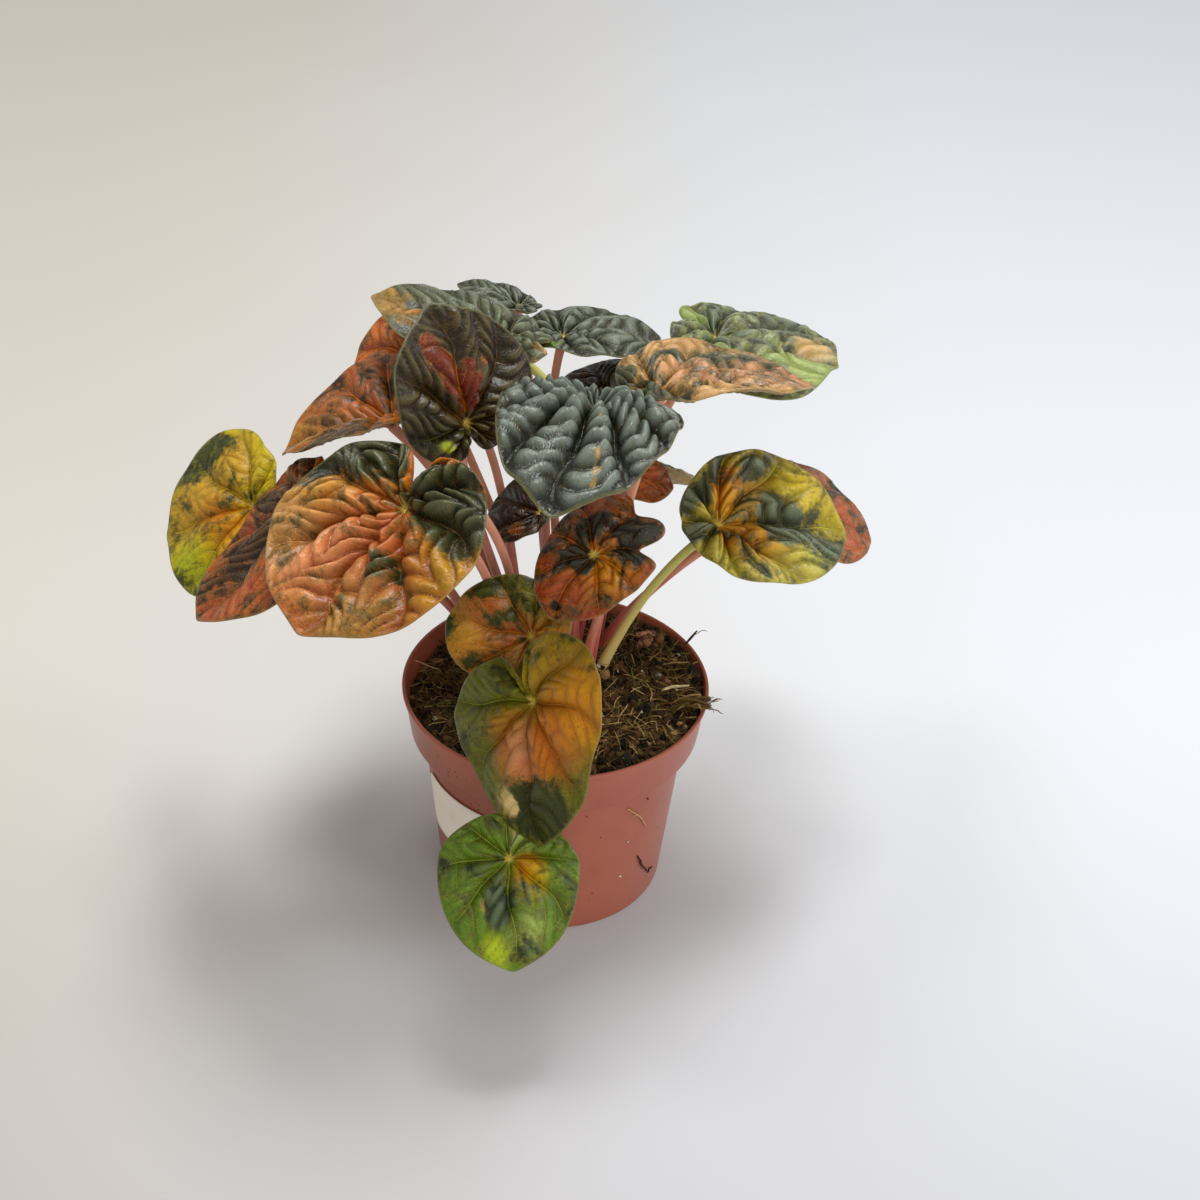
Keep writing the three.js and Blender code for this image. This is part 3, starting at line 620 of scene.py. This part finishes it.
leaves = [
    oneLeaf([-117.5, 18, 151.5], [167, -28, -40], [41, .56, .24], [.07, .13, .04], [178, 19], 'yellow',
        'yellow', 'moss', -.2, [(-100, .85, .3, 'yellow'), (-78, .6, .25, 'ochre'), (-14, .6, .25, 'ochre'),
        (4, .35, .15, 'orange'), (37, .75, .25, 'lime'), (56, .45, .25, 'amber'), (-50, .95, .2, 'lime')],
        [(-62, .78, .2, .35), (-38, .82, .2, .3), (27, .97, .12, .3), (-100, .85, .2, -.3)], point=-.17,
        skew=31, crease=.3),
    oneLeaf([-88.5, -9.5, 170.5], [216, -46, 12], [55, .6, .3], [-.14, .04, 0], [198, 21], 'orange',
        'orange', 'umber', -.05, [(8, .8, .3, 'rust'), (-71, .5, .4, 'rust'), (30, .5, .3, 'rust')],
        [(-8, .5, .2, .4), (-71, .5, .4, .2), (15, .8, .2, -.2)], point=.11, skew=-7, crease=.7),
    oneLeaf([-52.3, -40, 189.7], [229, -35.5, 2.7], [53, .775, .39], [-.04, .06, .12], [206, 15.5],
        'orange', 'orange', 'grey', -.3, [(-20, .45, .35, 'salmon'), (-50, .95, .3, 'tan'),
        (15, .35, .2, 'rust'), (45, .5, .25, 'rust'), (75, .8, .3, 'bronze'), (-75, .7, .3, 'ochre'),
        (20, .8, .3, 'khaki')], [(-118, .8, .38, 1.1), (-90, .95, .2, .5), (140, .5, .42, 1.3),
        (105, .7, .3, .9), (24, .45, .07, .45), (29, .6, .08, .45), (12, .78, .07, .5), (42, .6, .08, .45),
        (40, .82, .07, .4), (95, .98, .15, .5)], point=-.02, skew=-8, crease=1.7, pitch=7.2, beads=.9),
    oneLeaf([-64.5, 20, 190], [177, -18, 0], [42, .73, .39], [.13, 0, .35], [152, 16], 'orange', 'orange',
        'umber', -.08, [(-30, .6, .4, 'rust'), (60, .7, .35, 'umber'), (-90, .6, .3, 'rust'),
        (0, .8, .3, 'ochre')], [(60, .85, .3, .3), (-100, .7, .2, .2)], point=.07, skew=7, crease=.6),
    oneLeaf([-58, 52, 200], [140, -9, -45], [32, .56, .42], [.1, .05, 0], [135, 18], 'orange', 'orange',
        'umber', -.1, [(0, .8, .4, 'orange')], [(60, .7, .3, .3)], crease=.7),
    oneLeaf([-25, 52, 209], [173, 14, 6], [50, .55, .37], [.04, .04, -.03], [68, 15], 'dark', 'ochre',
        'mist', .15, [(0, .8, .4, 'khaki'), (25, .6, .2, 'orange')], [(-60, .6, .5, .8), (0, .2, .35, .6),
        (-120, .6, .5, .8), (0, .9, .3, -.5)], stalk='pale', reach=.38, lean=8, bloom=.2),
    oneLeaf([-36, 8, 198], [137, 76, -3], [41, .65, .28], [.25, .05, .08], [172, 13], 'dark', 'wine',
        'bark', .5, [(105, .6, .22, 'lime'), (-28, .6, .08, 'rust')], [(12, .18, .08, -1.2),
        (13, .32, .1, -1.2), (14, .46, .12, -1.3), (15, .6, .12, -1.2), (16, .74, .1, -1.2),
        (17, .86, .07, -.9), (-11, .18, .05, -1), (-12, .3, .06, -1.1), (-13, .42, .07, -1.2),
        (-13, .54, .06, -1.1), (-28, .6, .06, -.7), (108, .6, .16, -1.1)], lean=3, crease=1, bloom=.05,
        split=1),
    oneLeaf([-4, 77, 200], [10, -2, -3], [37, .58, .5], [.07, .04, 0], [84, 14], 'dark', 'olive', 'grey',
        .5, [(-110, .9, .3, 'green')], [(-115, .9, .25, -.8)], lean=.2, bloom=.45, split=.2),
    oneLeaf([11, -20, 220], [259, 15, -4], [50, .61, .38], [.46, -.05, -.06], [-80, 7], 'dark', 'tan',
        'slate', .8, [(15, .38, .12, 'faded'), (15, .6, .3, 'faded'), (14, .85, .15, 'khaki')],
        [(15, .33, .035, -.95), (15, .43, .035, -.9), (15, .55, .03, -.8), (14, .74, .035, -.9),
        (14, .83, .045, -.95), (13, .92, .04, -.8), (77, .88, .08, -.9)], lean=1, point=.09, veins=12,
        ridge=.095, bloom=.7, crease=1.25, split=.35, slant=.1, pitch=5.6, beads=.75, gloss=.4),
    oneLeaf([17, 50, 187], [109, 0, -13], [30, .56, .42], [.09, .05, 0], [60, 11], 'dark', 'umber', 'plum',
        .25, [], [(60, .6, .4, .3)], bloom=.3),
    oneLeaf([33.5, 14, 210.5], [19, 9, -13], [55, .59, .13], [.24, -.18, -.03], [10, 12], 'orange', 'tan',
        'grey', -.08, [(87, .5, .3, 'tan'), (150, .6, .3, 'ochre'), (10, .6, .4, 'blush'),
        (30, .7, .2, 'olive')], [(66, .55, .1, .8), (130, .95, .3, .9), (-130, .9, .35, 1),
        (180, .5, .3, .6), (115, .6, .1, .5), (34, .6, .12, .4), (20, .8, .12, .3)], skew=-4),
    oneLeaf([56, 80, 201], [-13, -10, -6], [46.5, .73, .38], [-.03, .14, .04], [62.5, 30.4], 'green',
        'sage', 'mist', -.02, [(155, .9, .4, 'leek'), (11, .78, .14, 'tan'), (-29, .85, .25, 'leek'),
        (-90, .8, .3, 'leek'), (90, .9, .3, 'leek')], [(11, .78, .12, -1.2), (165, .9, .35, -.5),
        (60, .5, .35, .3), (-20, .85, .2, -.5)], point=-.22, sinus=.3, crease=.8, bloom=.3, pitch=7.5),
    oneLeaf([58, 0, 164.5], [13, -7, 29], [48, .52, .34], [.09, -.04, .18], [30, 18], 'green', 'straw',
        'mist', -.13, [(72, .4, .22, 'amber'), (86, .6, .15, 'orange'), (30, .78, .25, 'yellow'),
        (-38, .75, .3, 'straw'), (-48, .4, .25, 'amber'), (-65, .25, .15, 'orange'), (0, .8, .2, 'yellow'),
        (48, .5, .15, 'tan'), (-20, .9, .2, 'leek')], [(8, .45, .17, .9), (110, .7, .22, .5),
        (58, .8, .18, .5), (92, .92, .14, .5), (-14, .62, .13, .5), (-15, .95, .15, .4), (150, .8, .3, .4),
        (-150, .8, .3, .3), (28, .75, .15, -.2), (72, .4, .12, -.6), (-40, .7, .2, -.4)], stalk='pale',
        lift=.3, point=.05, sinus=.1, crease=.9, pitch=8.5, bloom=.2),
    oneLeaf([89, 28, 160], [9, -32, 15], [35, .59, .42], [.06, .09, -.05], [58, 25], 'orange', 'rust',
        'slate', -.18, [(0, .7, .4, 'rust'), (-60, .7, .3, 'salmon')], [(50, .9, .3, .4)], lift=.3,
        crease=.4),
    oneLeaf([21, 26, 169], [4, -17, 17], [20, .56, .42], [.08, .05, 0], [30, 6], 'orange', 'rust', 'umber',
        -.1),
    oneLeaf([13, -38, 173.5], [229, -32, -11], [25.5, .77, 1.09], [.19, .17, -.17], [-50, 14], 'orange',
        'ember', 'coal', -.12, [(-4, .65, .3, 'rust'), (66, .4, .35, 'amber'), (196, .5, .3, 'rust'),
        (21, .7, .3, 'ember')], [(-56, .3, .2, .7), (-7, .22, .14, .5), (-34, .6, .12, .4),
        (-131, .5, .25, .5), (131, .6, .3, .7), (165, .8, .25, .4), (0, .85, .06, .6), (8, .95, .06, .5),
        (66, .4, .2, -.4), (-4, .6, .2, -.4)], tear=130, point=.03, skew=8, sinus=.25, crease=.6, gloss=.8,
        bloom=.1),
    oneLeaf([-8, 12, 159], [133, -16, -35], [26, .57, .4], [.07, .06, 0], [150, 7], 'dark', 'umber', 'plum',
        .3, [(60, .6, .3, 'ember')], [(60, .7, .25, -.4)], lean=-.8, crease=.5, bloom=.03),
    oneLeaf([-8.1, -35, 135.4], [158, -7, -39], [33, .56, .5], [.06, .02, .12], [262, 15], 'yellow',
        'khaki', 'moss', -.12, [(-25, .65, .2, 'rust'), (0, .3, .25, 'rust'), (45, .7, .25, 'orange'),
        (-70, .7, .3, 'olive'), (170, .5, .3, 'amber'), (15, .7, .2, 'ochre')], [(-33, .85, .16, .7),
        (-20, .4, .12, .3), (45, .8, .15, .4), (-70, .7, .3, .2), (5, .95, .1, .4)], stalk='pale',
        point=.03, skew=8, crease=.3),
    oneLeaf([-5.5, -66, 129.5], [271, -57, 47], [48, .82, .4], [.14, 0, .03], [300, 21], 'yellow', 'olive',
        'moss', -.16, [(-5, .32, .12, 'blush'), (-3, .5, .12, 'salmon'), (24, .38, .18, 'orange'),
        (-38, .38, .18, 'orange'), (66, .45, .25, 'orange'), (145, .6, .4, 'bronze'),
        (-79, .5, .35, 'olive'), (-110, .6, .3, 'olive'), (95, .7, .3, 'amber'), (-14, .8, .08, 'cream'),
        (178, .8, .3, 'yellow')], [(4, .78, .24, .9), (30, .8, .2, .4), (-14, .8, .06, -1.6),
        (0, .3, .3, -.6), (-143, .4, .16, .5), (60, .5, .4, -.4), (-60, .85, .25, .2), (120, .5, .4, -.3)],
        point=.14, skew=-26, lift=.25, lean=-.2, reach=.3, crease=.3),
    oneLeaf([-12, -89, 76.6], [277, -38, 6], [37, .67, .42], [.11, .06, 0], [255, 25], 'green', 'fern',
        'jade', -.2, [(61, .3, .14, 'amber'), (50, .42, .12, 'yellow'), (14, .75, .12, 'leek'),
        (-10, .9, .1, 'lime'), (150, .5, .2, 'leek'), (-26, .55, .04, 'tan')], [(-20, .42, .16, .65),
        (-12, .6, .12, .45), (29, .4, .15, .5), (61, .32, .12, -.7), (-90, .5, .2, .2)], stalk='pale',
        point=.08, skew=12, lift=.85, lean=3, reach=.3, crease=.5, gloss=.4, bloom=.2),
    oneLeaf([-39, -7, 182], [178, -20, 0], [16, .56, .42], [.07, .05, 0], [196, 12], 'orange', 'ember',
        'umber', -.1),
    oneLeaf([8, 11, 150], [250, 20, 0], [13, .56, .42], [.1, .05, 0], [0, 0], 'dark', 'umber', 'plum', .2,
        lean=0),
    oneLeaf([-50, 80, 167], [120, -32, 0], [40, .6, .4], [.15, .06, .04], [118, 21], 'green', 'green',
        'grey', .05, [(0, .8, .4, 'lime'), (60, .5, .3, 'olive')], [(-60, .6, .4, .3)]),
    oneLeaf([-14, 98, 152], [94, -42, 4], [42, .6, .4], [.12, .06, .04], [98, 26], 'dark', 'rust', 'grey',
        .25, [(0, .5, .3, 'salmon')], [(0, .6, .3, -.4)]),
    oneLeaf([24, 90, 134], [66, -34, -4], [38, .6, .4], [.12, .06, .04], [78, 25.5], 'green', 'ochre',
        'moss', .05, [(30, .7, .4, 'green'), (-40, .5, .3, 'amber')], [(-90, .6, .4, .3)]),
    oneLeaf([-23, 100, 201], [165, 10, 10], [25, .48, .4], [.05, .05, 0], [100, 21], 'dark', 'olive',
        'grey', .6, bloom=.5),
]


def bladeAxes(leaf):
    # u runs from joint to tip, v across to the left, w out of the upper face
    heading, pitch, roll = radians(leaf['turn'])
    u = array([cos(heading) * cos(pitch), sin(heading) * cos(pitch), sin(pitch)])
    level = array([-sin(heading), cos(heading), 0])
    v = level * cos(roll) + cross(u, level) * sin(roll)
    return u, v, cross(u, v)


def bladeMargin(angle, leaf):
    # the margin's distance from the joint: a rounded heart with a notch and a short point
    _, side, lobe = leaf['size']
    b = blade
    turn = angle + radians(leaf['skew']) * (1 - cos(angle)) / 2
    ends = (1 + lobe) / 2
    heart = (ends + side) / 2 + (1 - lobe) / 2 * cos(turn) + (ends - side) / 2 * cos(2 * turn)
    taper = leaf['point'] * b['taper'] * np.maximum(0, cos(turn)) * sin(turn) ** 2
    fromNotch = np.arccos(clip(-cos(turn), -1, 1))
    notch = 1 - leaf['sinus'] * exp(-(fromNotch / b['sinusWidth']) ** 2)
    if 'tear' in leaf:
        fromTear = angle - radians(leaf['tear'])
        notch = notch * (1 - b['tearDepth'] * exp(-(fromTear / b['tearWidth']) ** 2))
    tip = b['tipLength'] * exp(-(hypot(angle, .05) - .05) / b['tipWidth'])
    return (heart - taper) * notch + tip


def veinFan(angle, part, along, across, leaf, seed):
    # First number: whole on each main vein. Second number: whole on each side vein, which leaves a main
    # vein at a slant. Both wander, and the second gains one step from one main vein to the next.
    wander = .1 * sin(along / 5.3 + seed) * sin(across / 6.7 + 2 * seed) * smooth(.05, .3, part)
    forward = 1 + .1 * part ** 2 * (1 - (angle / pi) ** 2)
    veins = leaf['veins']
    fan = veins * angle * forward / (2 * pi) + wander
    off = (fan - np.round(fan)) * 2 * pi / veins
    slant = leaf['slant']
    ladder = hypot(along, across) * (cos(off) - slant * np.abs(sin(off)))
    ripple = (.22 * sin(along / 4.1 - across / 5.9 + 3 * seed) + .2 * sin(across / 3.7 + along / 7.1 + seed)
              + .25 * sin(along / 8.3 + across / 9.1 + 5 * seed) * sin(across / 6.1 - along / 11 + seed))
    pitch = leaf.get('pitch', 3.6 + .055 * leaf['size'][0])
    return fan, ladder / pitch + fan + ripple


def bladeLift(along, across, part, angle, leaf, seed):
    # The sheet's height over its own plane: its bends and fold, the hollow over the stalk, a full ridge
    # between each pair of main veins, split along its middle towards the margin, and round pillows on it
    # with a crease at each side vein.
    length = leaf['size'][0]
    arch, cup, fold = leaf['bend']
    b = blade
    bend = (arch * along ** 2 + cup * across ** 2) / length
    hollow = b['hollowDepth'] * (1 - exp(-(along ** 2 + across ** 2) / b['hollowRadius'] ** 2))
    folded = fold * (hypot(across, b['foldRound']) - b['foldRound'])
    fan, side = veinFan(angle, part, along, across, leaf, seed)
    rim = smooth(.955, 1, part)
    between = np.abs(sin(pi * fan))
    main = mix(between ** .75, between ** 2, rim)
    halves = np.abs(sin(2 * pi * fan))
    split = leaf['split'] * smooth(.3, .6, part)
    ends = between ** .55 * (1 - split * (1 - halves ** .5))
    bump = np.abs(sin(pi * side)) ** .7
    vary = 1 + .35 * sin(along / 6.3 + 2 * seed) * sin(across / 5.1 + seed)
    knobs = (sin(along / 1.2 + 1.6 * sin(across / 2.3 + seed))
             * sin(across / 1.3 + 1.6 * sin(along / 2.7 - seed)))
    vary = vary + .22 * knobs * smooth(.2, .5, part)
    grown = smooth(.05, .25, part) * (1 - rim)
    ridge = leaf['ridge'] * length * (sin(pi * part ** .8) + .5 * part ** 4)
    pillow = leaf['crease'] * (.7 * ridge + 1) * vary * grown
    puff = ends * (1 - leaf['beads'] * (1 - bump))
    height = folded - bend + hollow + ridge * main + pillow * (puff - .45)
    # the third value, how high a point sits on its pillow, sets where the material paints shade and highlight
    return height, stack([fan, side], -1), puff * (1 - rim) + .4 * rim


def bladeColours(angle, part, leaf):
    # Soft fields over the sheet: the light colour drawn towards each spot's tint, and how dark it is.
    x, y = part * cos(angle), part * sin(angle)

    def near(turn, reach, size):
        # 1 at one place on the sheet, falling off over the size
        turn = radians(turn)
        return exp(-((x - reach * cos(turn)) ** 2 + (y - reach * sin(turn)) ** 2) / size ** 2)

    total = .35 + 0 * x
    colour = total[..., None] * linearColour(tints[leaf['base']])
    for *place, tint in leaf['spots']:
        pull = 2 * near(*place)
        total = total + pull
        colour = colour + pull[..., None] * linearColour(tints[tint])
    dark = leaf['dark'] + 0 * x
    for *place, amount in leaf['darks']:
        dark = dark + amount * near(*place)
    return colour / total[..., None], dark


def bladeMaterial(name, rough, shine):
    # A variegated leaf: light and dark patches that follow the pillows, painted shade in the valleys and a
    # painted highlight and grey sheen on the pillows, pale veins of three sizes, dark specks, a thin pale
    # margin, and a paler underside.
    material, start = newMaterial(name, {'IOR': 1.42, 'Specular IOR Level': shine})
    fan, side, _ = start.node('UVMap', {'uv_map': 'veins'}).parts()
    sheet = start.attribute('sheet', 1)
    along, across, seed = sheet.parts()
    puff, bias, part = start.attribute('form', 1).parts()
    under, bloom, gloss = start.attribute('state', 1).parts()
    light, deep = start.attribute('light', 0), start.attribute('deep', 0)
    flat = start.joined(along, across, 0)
    reach = flat.vector('LENGTH', flat, output=1)
    # how far from a main and from a side vein in millimetres, and a net of the finest ones
    fanOff = fan.offWhole() * reach * (2 * pi / usual['veins'])
    mainVein = (fanOff / part.step(0, 1, .55, .2)).step(.45, 1.3, 1, 0) * part.step(.84, .98, 1, 0)
    sideVein = (side.offWhole() * 5.5).step(.12, .5, 1, 0) * part.step(.12, .3)
    sideVein = sideVein * part.step(.8, .95, 1, 0) * sheet.noise(.12, 1).step(.35, .6, .25, 1)
    net = sheet.cells(.62, 'DISTANCE_TO_EDGE').step(.02, .13, 1, 0)
    # where the dark is: broad clouds, clouds that follow the pillows, and a ragged edge
    wide = sheet.noise(.11, 3, .6, .3)
    pillow = start.joined(fan * 1.15, side * .62, seed).noise(1, 2, .5)
    ragged = sheet.noise(.6, 4, .65)
    dark = bias + (wide - .5) * 1.5 + (pillow - .5) * 1.1 + (ragged - .5) * .7
    darkMask = dark.step(-.14, .18)
    between = dark.step(-.28, 0) * dark.step(0, .25, 1, 0)
    # light parts: redder and darker in the valleys and paler on the pillows, drifting between warm and olive;
    # the darker valleys are painted shade and the paler pillow tops a painted highlight
    hue = sheet.noise(.21, 3, .6)
    red, green, _ = light.parts()
    warm = (red / green).step(1.5, 3)
    # painted shade: a darker copy of the light colour for the valleys, redder on red leaves
    low = warm.blend(light.times((.58, .56, .34)), light.times((.66, .3, .14)))
    # painted highlight: a lighter copy of the light colour for the pillow tops
    high = warm.blend(light.times((1.25, 1.22, 1.3)), light.times((1.22, 1.36, 1.9)))
    lightSide = puff.step(.05, .8).blend(low, high)
    olive = sheet.noise(.16, 3, .6).step(.5, .72, 0, .55)
    lightSide = olive.blend(lightSide, light.times((.62, .86, .5)))
    brown = sheet.noise(.45, 3, .6).step(.5, .66, 0, .4)
    lightSide = brown.blend(lightSide, light.times((.72, .55, .45)))
    # dark parts: near black in the valleys as painted shade, with a painted grey sheen on the pillows
    # painted sheen: grey on the pillow tops, stronger on leaves given more of it
    high = (bloom * (hue * .8 + .6)).blend(deep, '7a8478')
    # painted shade: the deep colour darkened to near black in the valleys
    darkSide = puff.step(.3, .95).blend(deep.times((.24, .24, .22)), high)
    darkSide = sheet.noise(.3, 2).step(.52, .7, 0, .35).blend(darkSide, '443e12')
    colour = (between * .55).blend(lightSide, '5a4a18')
    colour = darkMask.blend(colour, darkSide)
    # specks of the dark colour in the light parts, some with soft edges
    specks = sheet.noise(.85, 3, .6).step(.6, .7) * sheet.noise(.12, 2).step(.38, .6)
    colour = (specks * .65).blend(colour, deep.times((.8, .8, .7)))
    # veins: green on yellow and green leaves, orange on red ones, and faint in the dark
    veinColour = (hue * .6 + .2).blend(light, (red / green).step(1.1, 2.2).blend('a4a838', 'd8861a'))
    strength = darkMask.step(0, 1, .85, .16) * bloom.step(.2, .45, 1, .25)
    lines = mainVein.most(sideVein * .55).most(net * .4 * hue.step(.42, .6))
    colour = (lines * strength).blend(colour, veinColour)
    colour = (reach.step(.7, 2.6, 1, 0) * .8).blend(colour, 'd4bd5a')
    colour = (part.step(.98, .995) * .25).blend(colour, '85824a')
    below = darkMask.step(0, 1, .3, .6).blend(light, '94966e')
    below = (mainVein * .6).blend(below, 'c09c7c')
    colour = under.blend(colour, below)
    roughness = sheet.noise(.5, 3, .6) * .14 + (rough - .07) + under * .15 + lines * .08 - gloss * .16
    relief = sheet.noise(1.3, 3, .55) * .2 + sheet.noise(6, 1) * .012 - net * .05
    return feed(material, colour, roughness, relief - mainVein * .3 - sideVein * .12)


bladeMaterials = {tone: bladeMaterial('leaf, ' + tone, rough, shine) for tone, rough, shine in
                  [('yellow', .29, .32), ('orange', .25, .5), ('dark', .27, .5), ('green', .26, .45)]}


def makeBlade(number, leaf):
    # The closed sheet as one grid: out over the upper face, round the margin and back under it.
    length = leaf['size'][0]
    rings = int(12 + 1.1 * length)
    out = linspace(0, 1, rings + 1)
    part = concatenate([out, [1], out[::-1]])[:, None]
    under = concatenate([0 * out, [.5], 0 * out + 1])[:, None]
    angle = linspace(-pi, pi, 4 * rings + 1)[None]
    reach = part * bladeMargin(angle, leaf) * length + .2 * (under == .5)
    along, across = reach * cos(angle), reach * sin(angle)
    up, veins, puff = bladeLift(along, across, part, angle, leaf, 1.7 * number)
    up = up - under * mix(1, .5, part ** 2)
    u, v, w = bladeAxes(leaf)
    grid = array(leaf['joint']) + along[..., None] * u + across[..., None] * v + up[..., None] * w
    light, dark = bladeColours(angle + 0 * part, part + 0 * angle, leaf)
    # leaves with shallow creases get less painted shade and highlight
    puff = mix(.6, puff, min(1, leaf['crease'] / .7))
    name = f'leaf_{number:02d}'
    slot = leaf['slot']
    piece = addPiece(f'{name}_sheet', *shell(grid[:, :-1]), bladeMaterials[slot], f'blade_{slot}',
                     [f'{name}_blade'])
    layer = piece.data.uv_layers.new(name='veins')
    layer.data.foreach_set('uv', shellCorners(veins).astype(np.float32).ravel())
    full = np.ones((*along.shape, 1))

    def addFields(kind, *fields):
        wide = [f if np.ndim(f) == 3 else (f + 0 * along)[..., None] for f in fields]
        addAttribute(piece, kind, shellPoints(concatenate(wide, -1)[:, :-1]))

    addFields('sheet', along, across, 50 * number)
    addFields('form', puff, dark, part)
    addFields('light', light, full)
    addFields('deep', full * linearColour(tints[leaf['deep']]), full)
    addFields('state', under, leaf['bloom'], leaf['gloss'])


def petiolePath(leaf):
    # up from the foot in the peat, then over to the underside of the blade
    u, _, w = bladeAxes(leaf)
    turn, distance = leaf['foot']
    p = petiole
    foot = array([distance * cos(radians(turn)), distance * sin(radians(turn)) + p['crownY'], 0])
    foot[2] = soilHeight(foot[0], foot[1]) - 6
    lean = leaf['lean']
    end = array(leaf['joint']) - w * (blade['thickness'] + .3 + p['radius'] * abs(lean) / hypot(1, lean))
    span = np.linalg.norm(end - foot)
    arrive = (w + lean * u) / hypot(1, lean)
    first = foot + (end - foot) * [p['outward'], p['outward'], 0] + [0, 0, leaf['lift'] * span]
    second = end - arrive * leaf['reach'] * span
    t = linspace(0, 1, p['rings'])[:, None]
    path = (1 - t) ** 3 * foot + 3 * t * (1 - t) ** 2 * first + 3 * t * t * (1 - t) * second + t ** 3 * end
    return concatenate([path, [array(leaf['joint']) - w * .6]])


def petioleMaterial(name, low, high, streakColour):
    # a fleshy stalk: colour that drifts from foot to blade, fine lengthwise streaks and small flecks
    material, start = newMaterial(name, {'IOR': 1.42})
    around, upward, seed = start.attribute('stem', 1).parts()
    drift = upward * .01 + (start.joined(0, upward * .05, seed).noise(1, 2) - .5) * .8
    base = drift.step(0, .9).blend(low, high)
    streak = start.joined(around * 1.4, upward * .09, seed).noise(2.2, 3, .6)
    base = streak.step(.5, .72, 0, .55).blend(base, streakColour)
    fleck = start.joined(around * 2, upward * .8, seed).noise(1.6, 2).step(.66, .72, 0, .5)
    base = fleck.blend(base, base.times((.6, .5, .5)))
    relief = streak * .1 + start.joined(around, upward * .4, seed).noise(4, 2) * .05
    return feed(material, base, streak * .2 + .32, relief)


petioleMaterials = {tone: petioleMaterial('stalk, ' + tone, *colours) for tone, *colours in
                    [('pink', 'a2443c', 'c88a70', 'b25a50'), ('pale', 'd0b874', 'b2b45c', 'c8a070')]}


def makePetiole(number, leaf):
    # a round rod, thicker at its foot and widening a little under the blade
    path = petiolePath(leaf)
    t = linspace(0, 1, len(path))
    radii = mix(2.35, 1.7, smooth(0, .5, t)) + .35 * smooth(.9, 1, t)
    grid = tubeGrid(path, radii, petiole['sides'])
    stalk = leaf['stalk']
    name = f'leaf_{number:02d}'
    piece = addPiece(f'{name}_stalk', *shell(grid), petioleMaterials[stalk], f'petiole_{stalk}',
                     [f'{name}_petiole'])
    # the material reads how far up the stalk a point is and where on a straight rod it would be
    steps = concatenate([[0], cumsum(np.linalg.norm(np.diff(path, axis=0), axis=1))])
    upward = concatenate([steps[:1], steps, steps[-1:]])[:, None]
    turn = linspace(0, 2 * pi, petiole['sides'], endpoint=False)[None]
    x, y = petiole['radius'] * cos(turn), petiole['radius'] * sin(turn)
    stem = stack([x + y + 0 * upward, upward + 0 * turn, 40 * number + y + 0 * upward], -1)
    addAttribute(piece, 'stem', shellPoints(stem))


for number, leaf in enumerate(leaves, 1):
    makeBlade(number, leaf)
    makePetiole(number, leaf)
print('leaves: ', len(leaves))

# The stage: a pale floor, soft light from above and behind, and the camera, which looks down by 34 degrees
# and rolls by 3. A lamp is its kind, place in metres, power, colour and size, an angle for the sun.
stage = dict(lens=54, camera=(.0156955, -.5641338, .5140321), turn=(55.638571, -2.295446, 1.568644),
             floor=6000, sky=.49)
lamps = dict(
    daylight=('SUN', (.2, .42, 1.2), 1.4, (.98, .99, 1), radians(20)),
    overhead=('AREA', (.05, .15, 1.35), 4.6, (1, 1, .98), .3),
    front=('AREA', (.45, -1.2, .5), 9, (1, .98, .95), .9),
    left=('AREA', (-.5, .15, 1.3), 3, (1, .98, .95), .3),
    side=('AREA', (1.3, .1, .8), 5, (.93, .96, 1), .7))


def addLamp(name, kind, place, power, tint, size):
    # a lamp that looks at the plant's middle
    lamp = bpy.data.lights.new(name, kind)
    lamp.energy = power
    lamp.color = tint
    setattr(lamp, 'angle' if kind == 'SUN' else 'size', size)
    holder = newObject(name, lamp)
    holder.location = place
    holder.rotation_euler = (Vector((0, 0, .12)) - holder.location).to_track_quat('-Z', 'Y').to_euler()
    holder.visible_glossy = name != 'front'  # the front lamp only fills, and leaves no shine


def makeStage():
    # painted light on the floor: it drifts from warm on the left to cool on the right and is darker in front,
    # as painted shade and lamp falloff
    material, start = newMaterial('floor', {'Specular IOR Level': .1})
    place = start.place()
    across, back, _ = place.parts()
    across = (across + place.noise(3, 2) * .2).step(-.3, .4)
    # painted shade in front with the first pair of colours, painted light behind with the second
    near, far = across.blend('a09992', 'b0b1b7'), across.blend('c0bab1', 'cdd0d5')
    feed(material, back.step(-.35, .15).blend(near, far), place.noise(8, 2) * .1 + .8)
    corners = array([(-1, -1, 0), (1, -1, 0), (1, 1, 0), (-1, 1, 0)]) * stage['floor']
    floor = newMesh('floor', corners, [(0, 1, 2, 3)])
    floor.data.materials.append(material)
    world = bpy.data.worlds.new('studio')
    world.use_nodes = True
    background = world.node_tree.nodes['Background']
    background.inputs[0].default_value = (1, .985, .965, 1)
    background.inputs[1].default_value = stage['sky']
    bpy.context.scene.world = world
    for name, values in lamps.items():
        addLamp(name, *values)


def makeCamera():
    camera = bpy.data.cameras.new('camera')
    camera.lens = stage['lens']
    camera.clip_start = .01
    holder = newObject('camera', camera)
    holder.location = stage['camera']
    holder.rotation_euler = radians(stage['turn'])
    bpy.context.scene.camera = holder


makeStage()
makeCamera()
bpy.context.scene.view_settings.view_transform = 'Standard'
print('stage and camera')
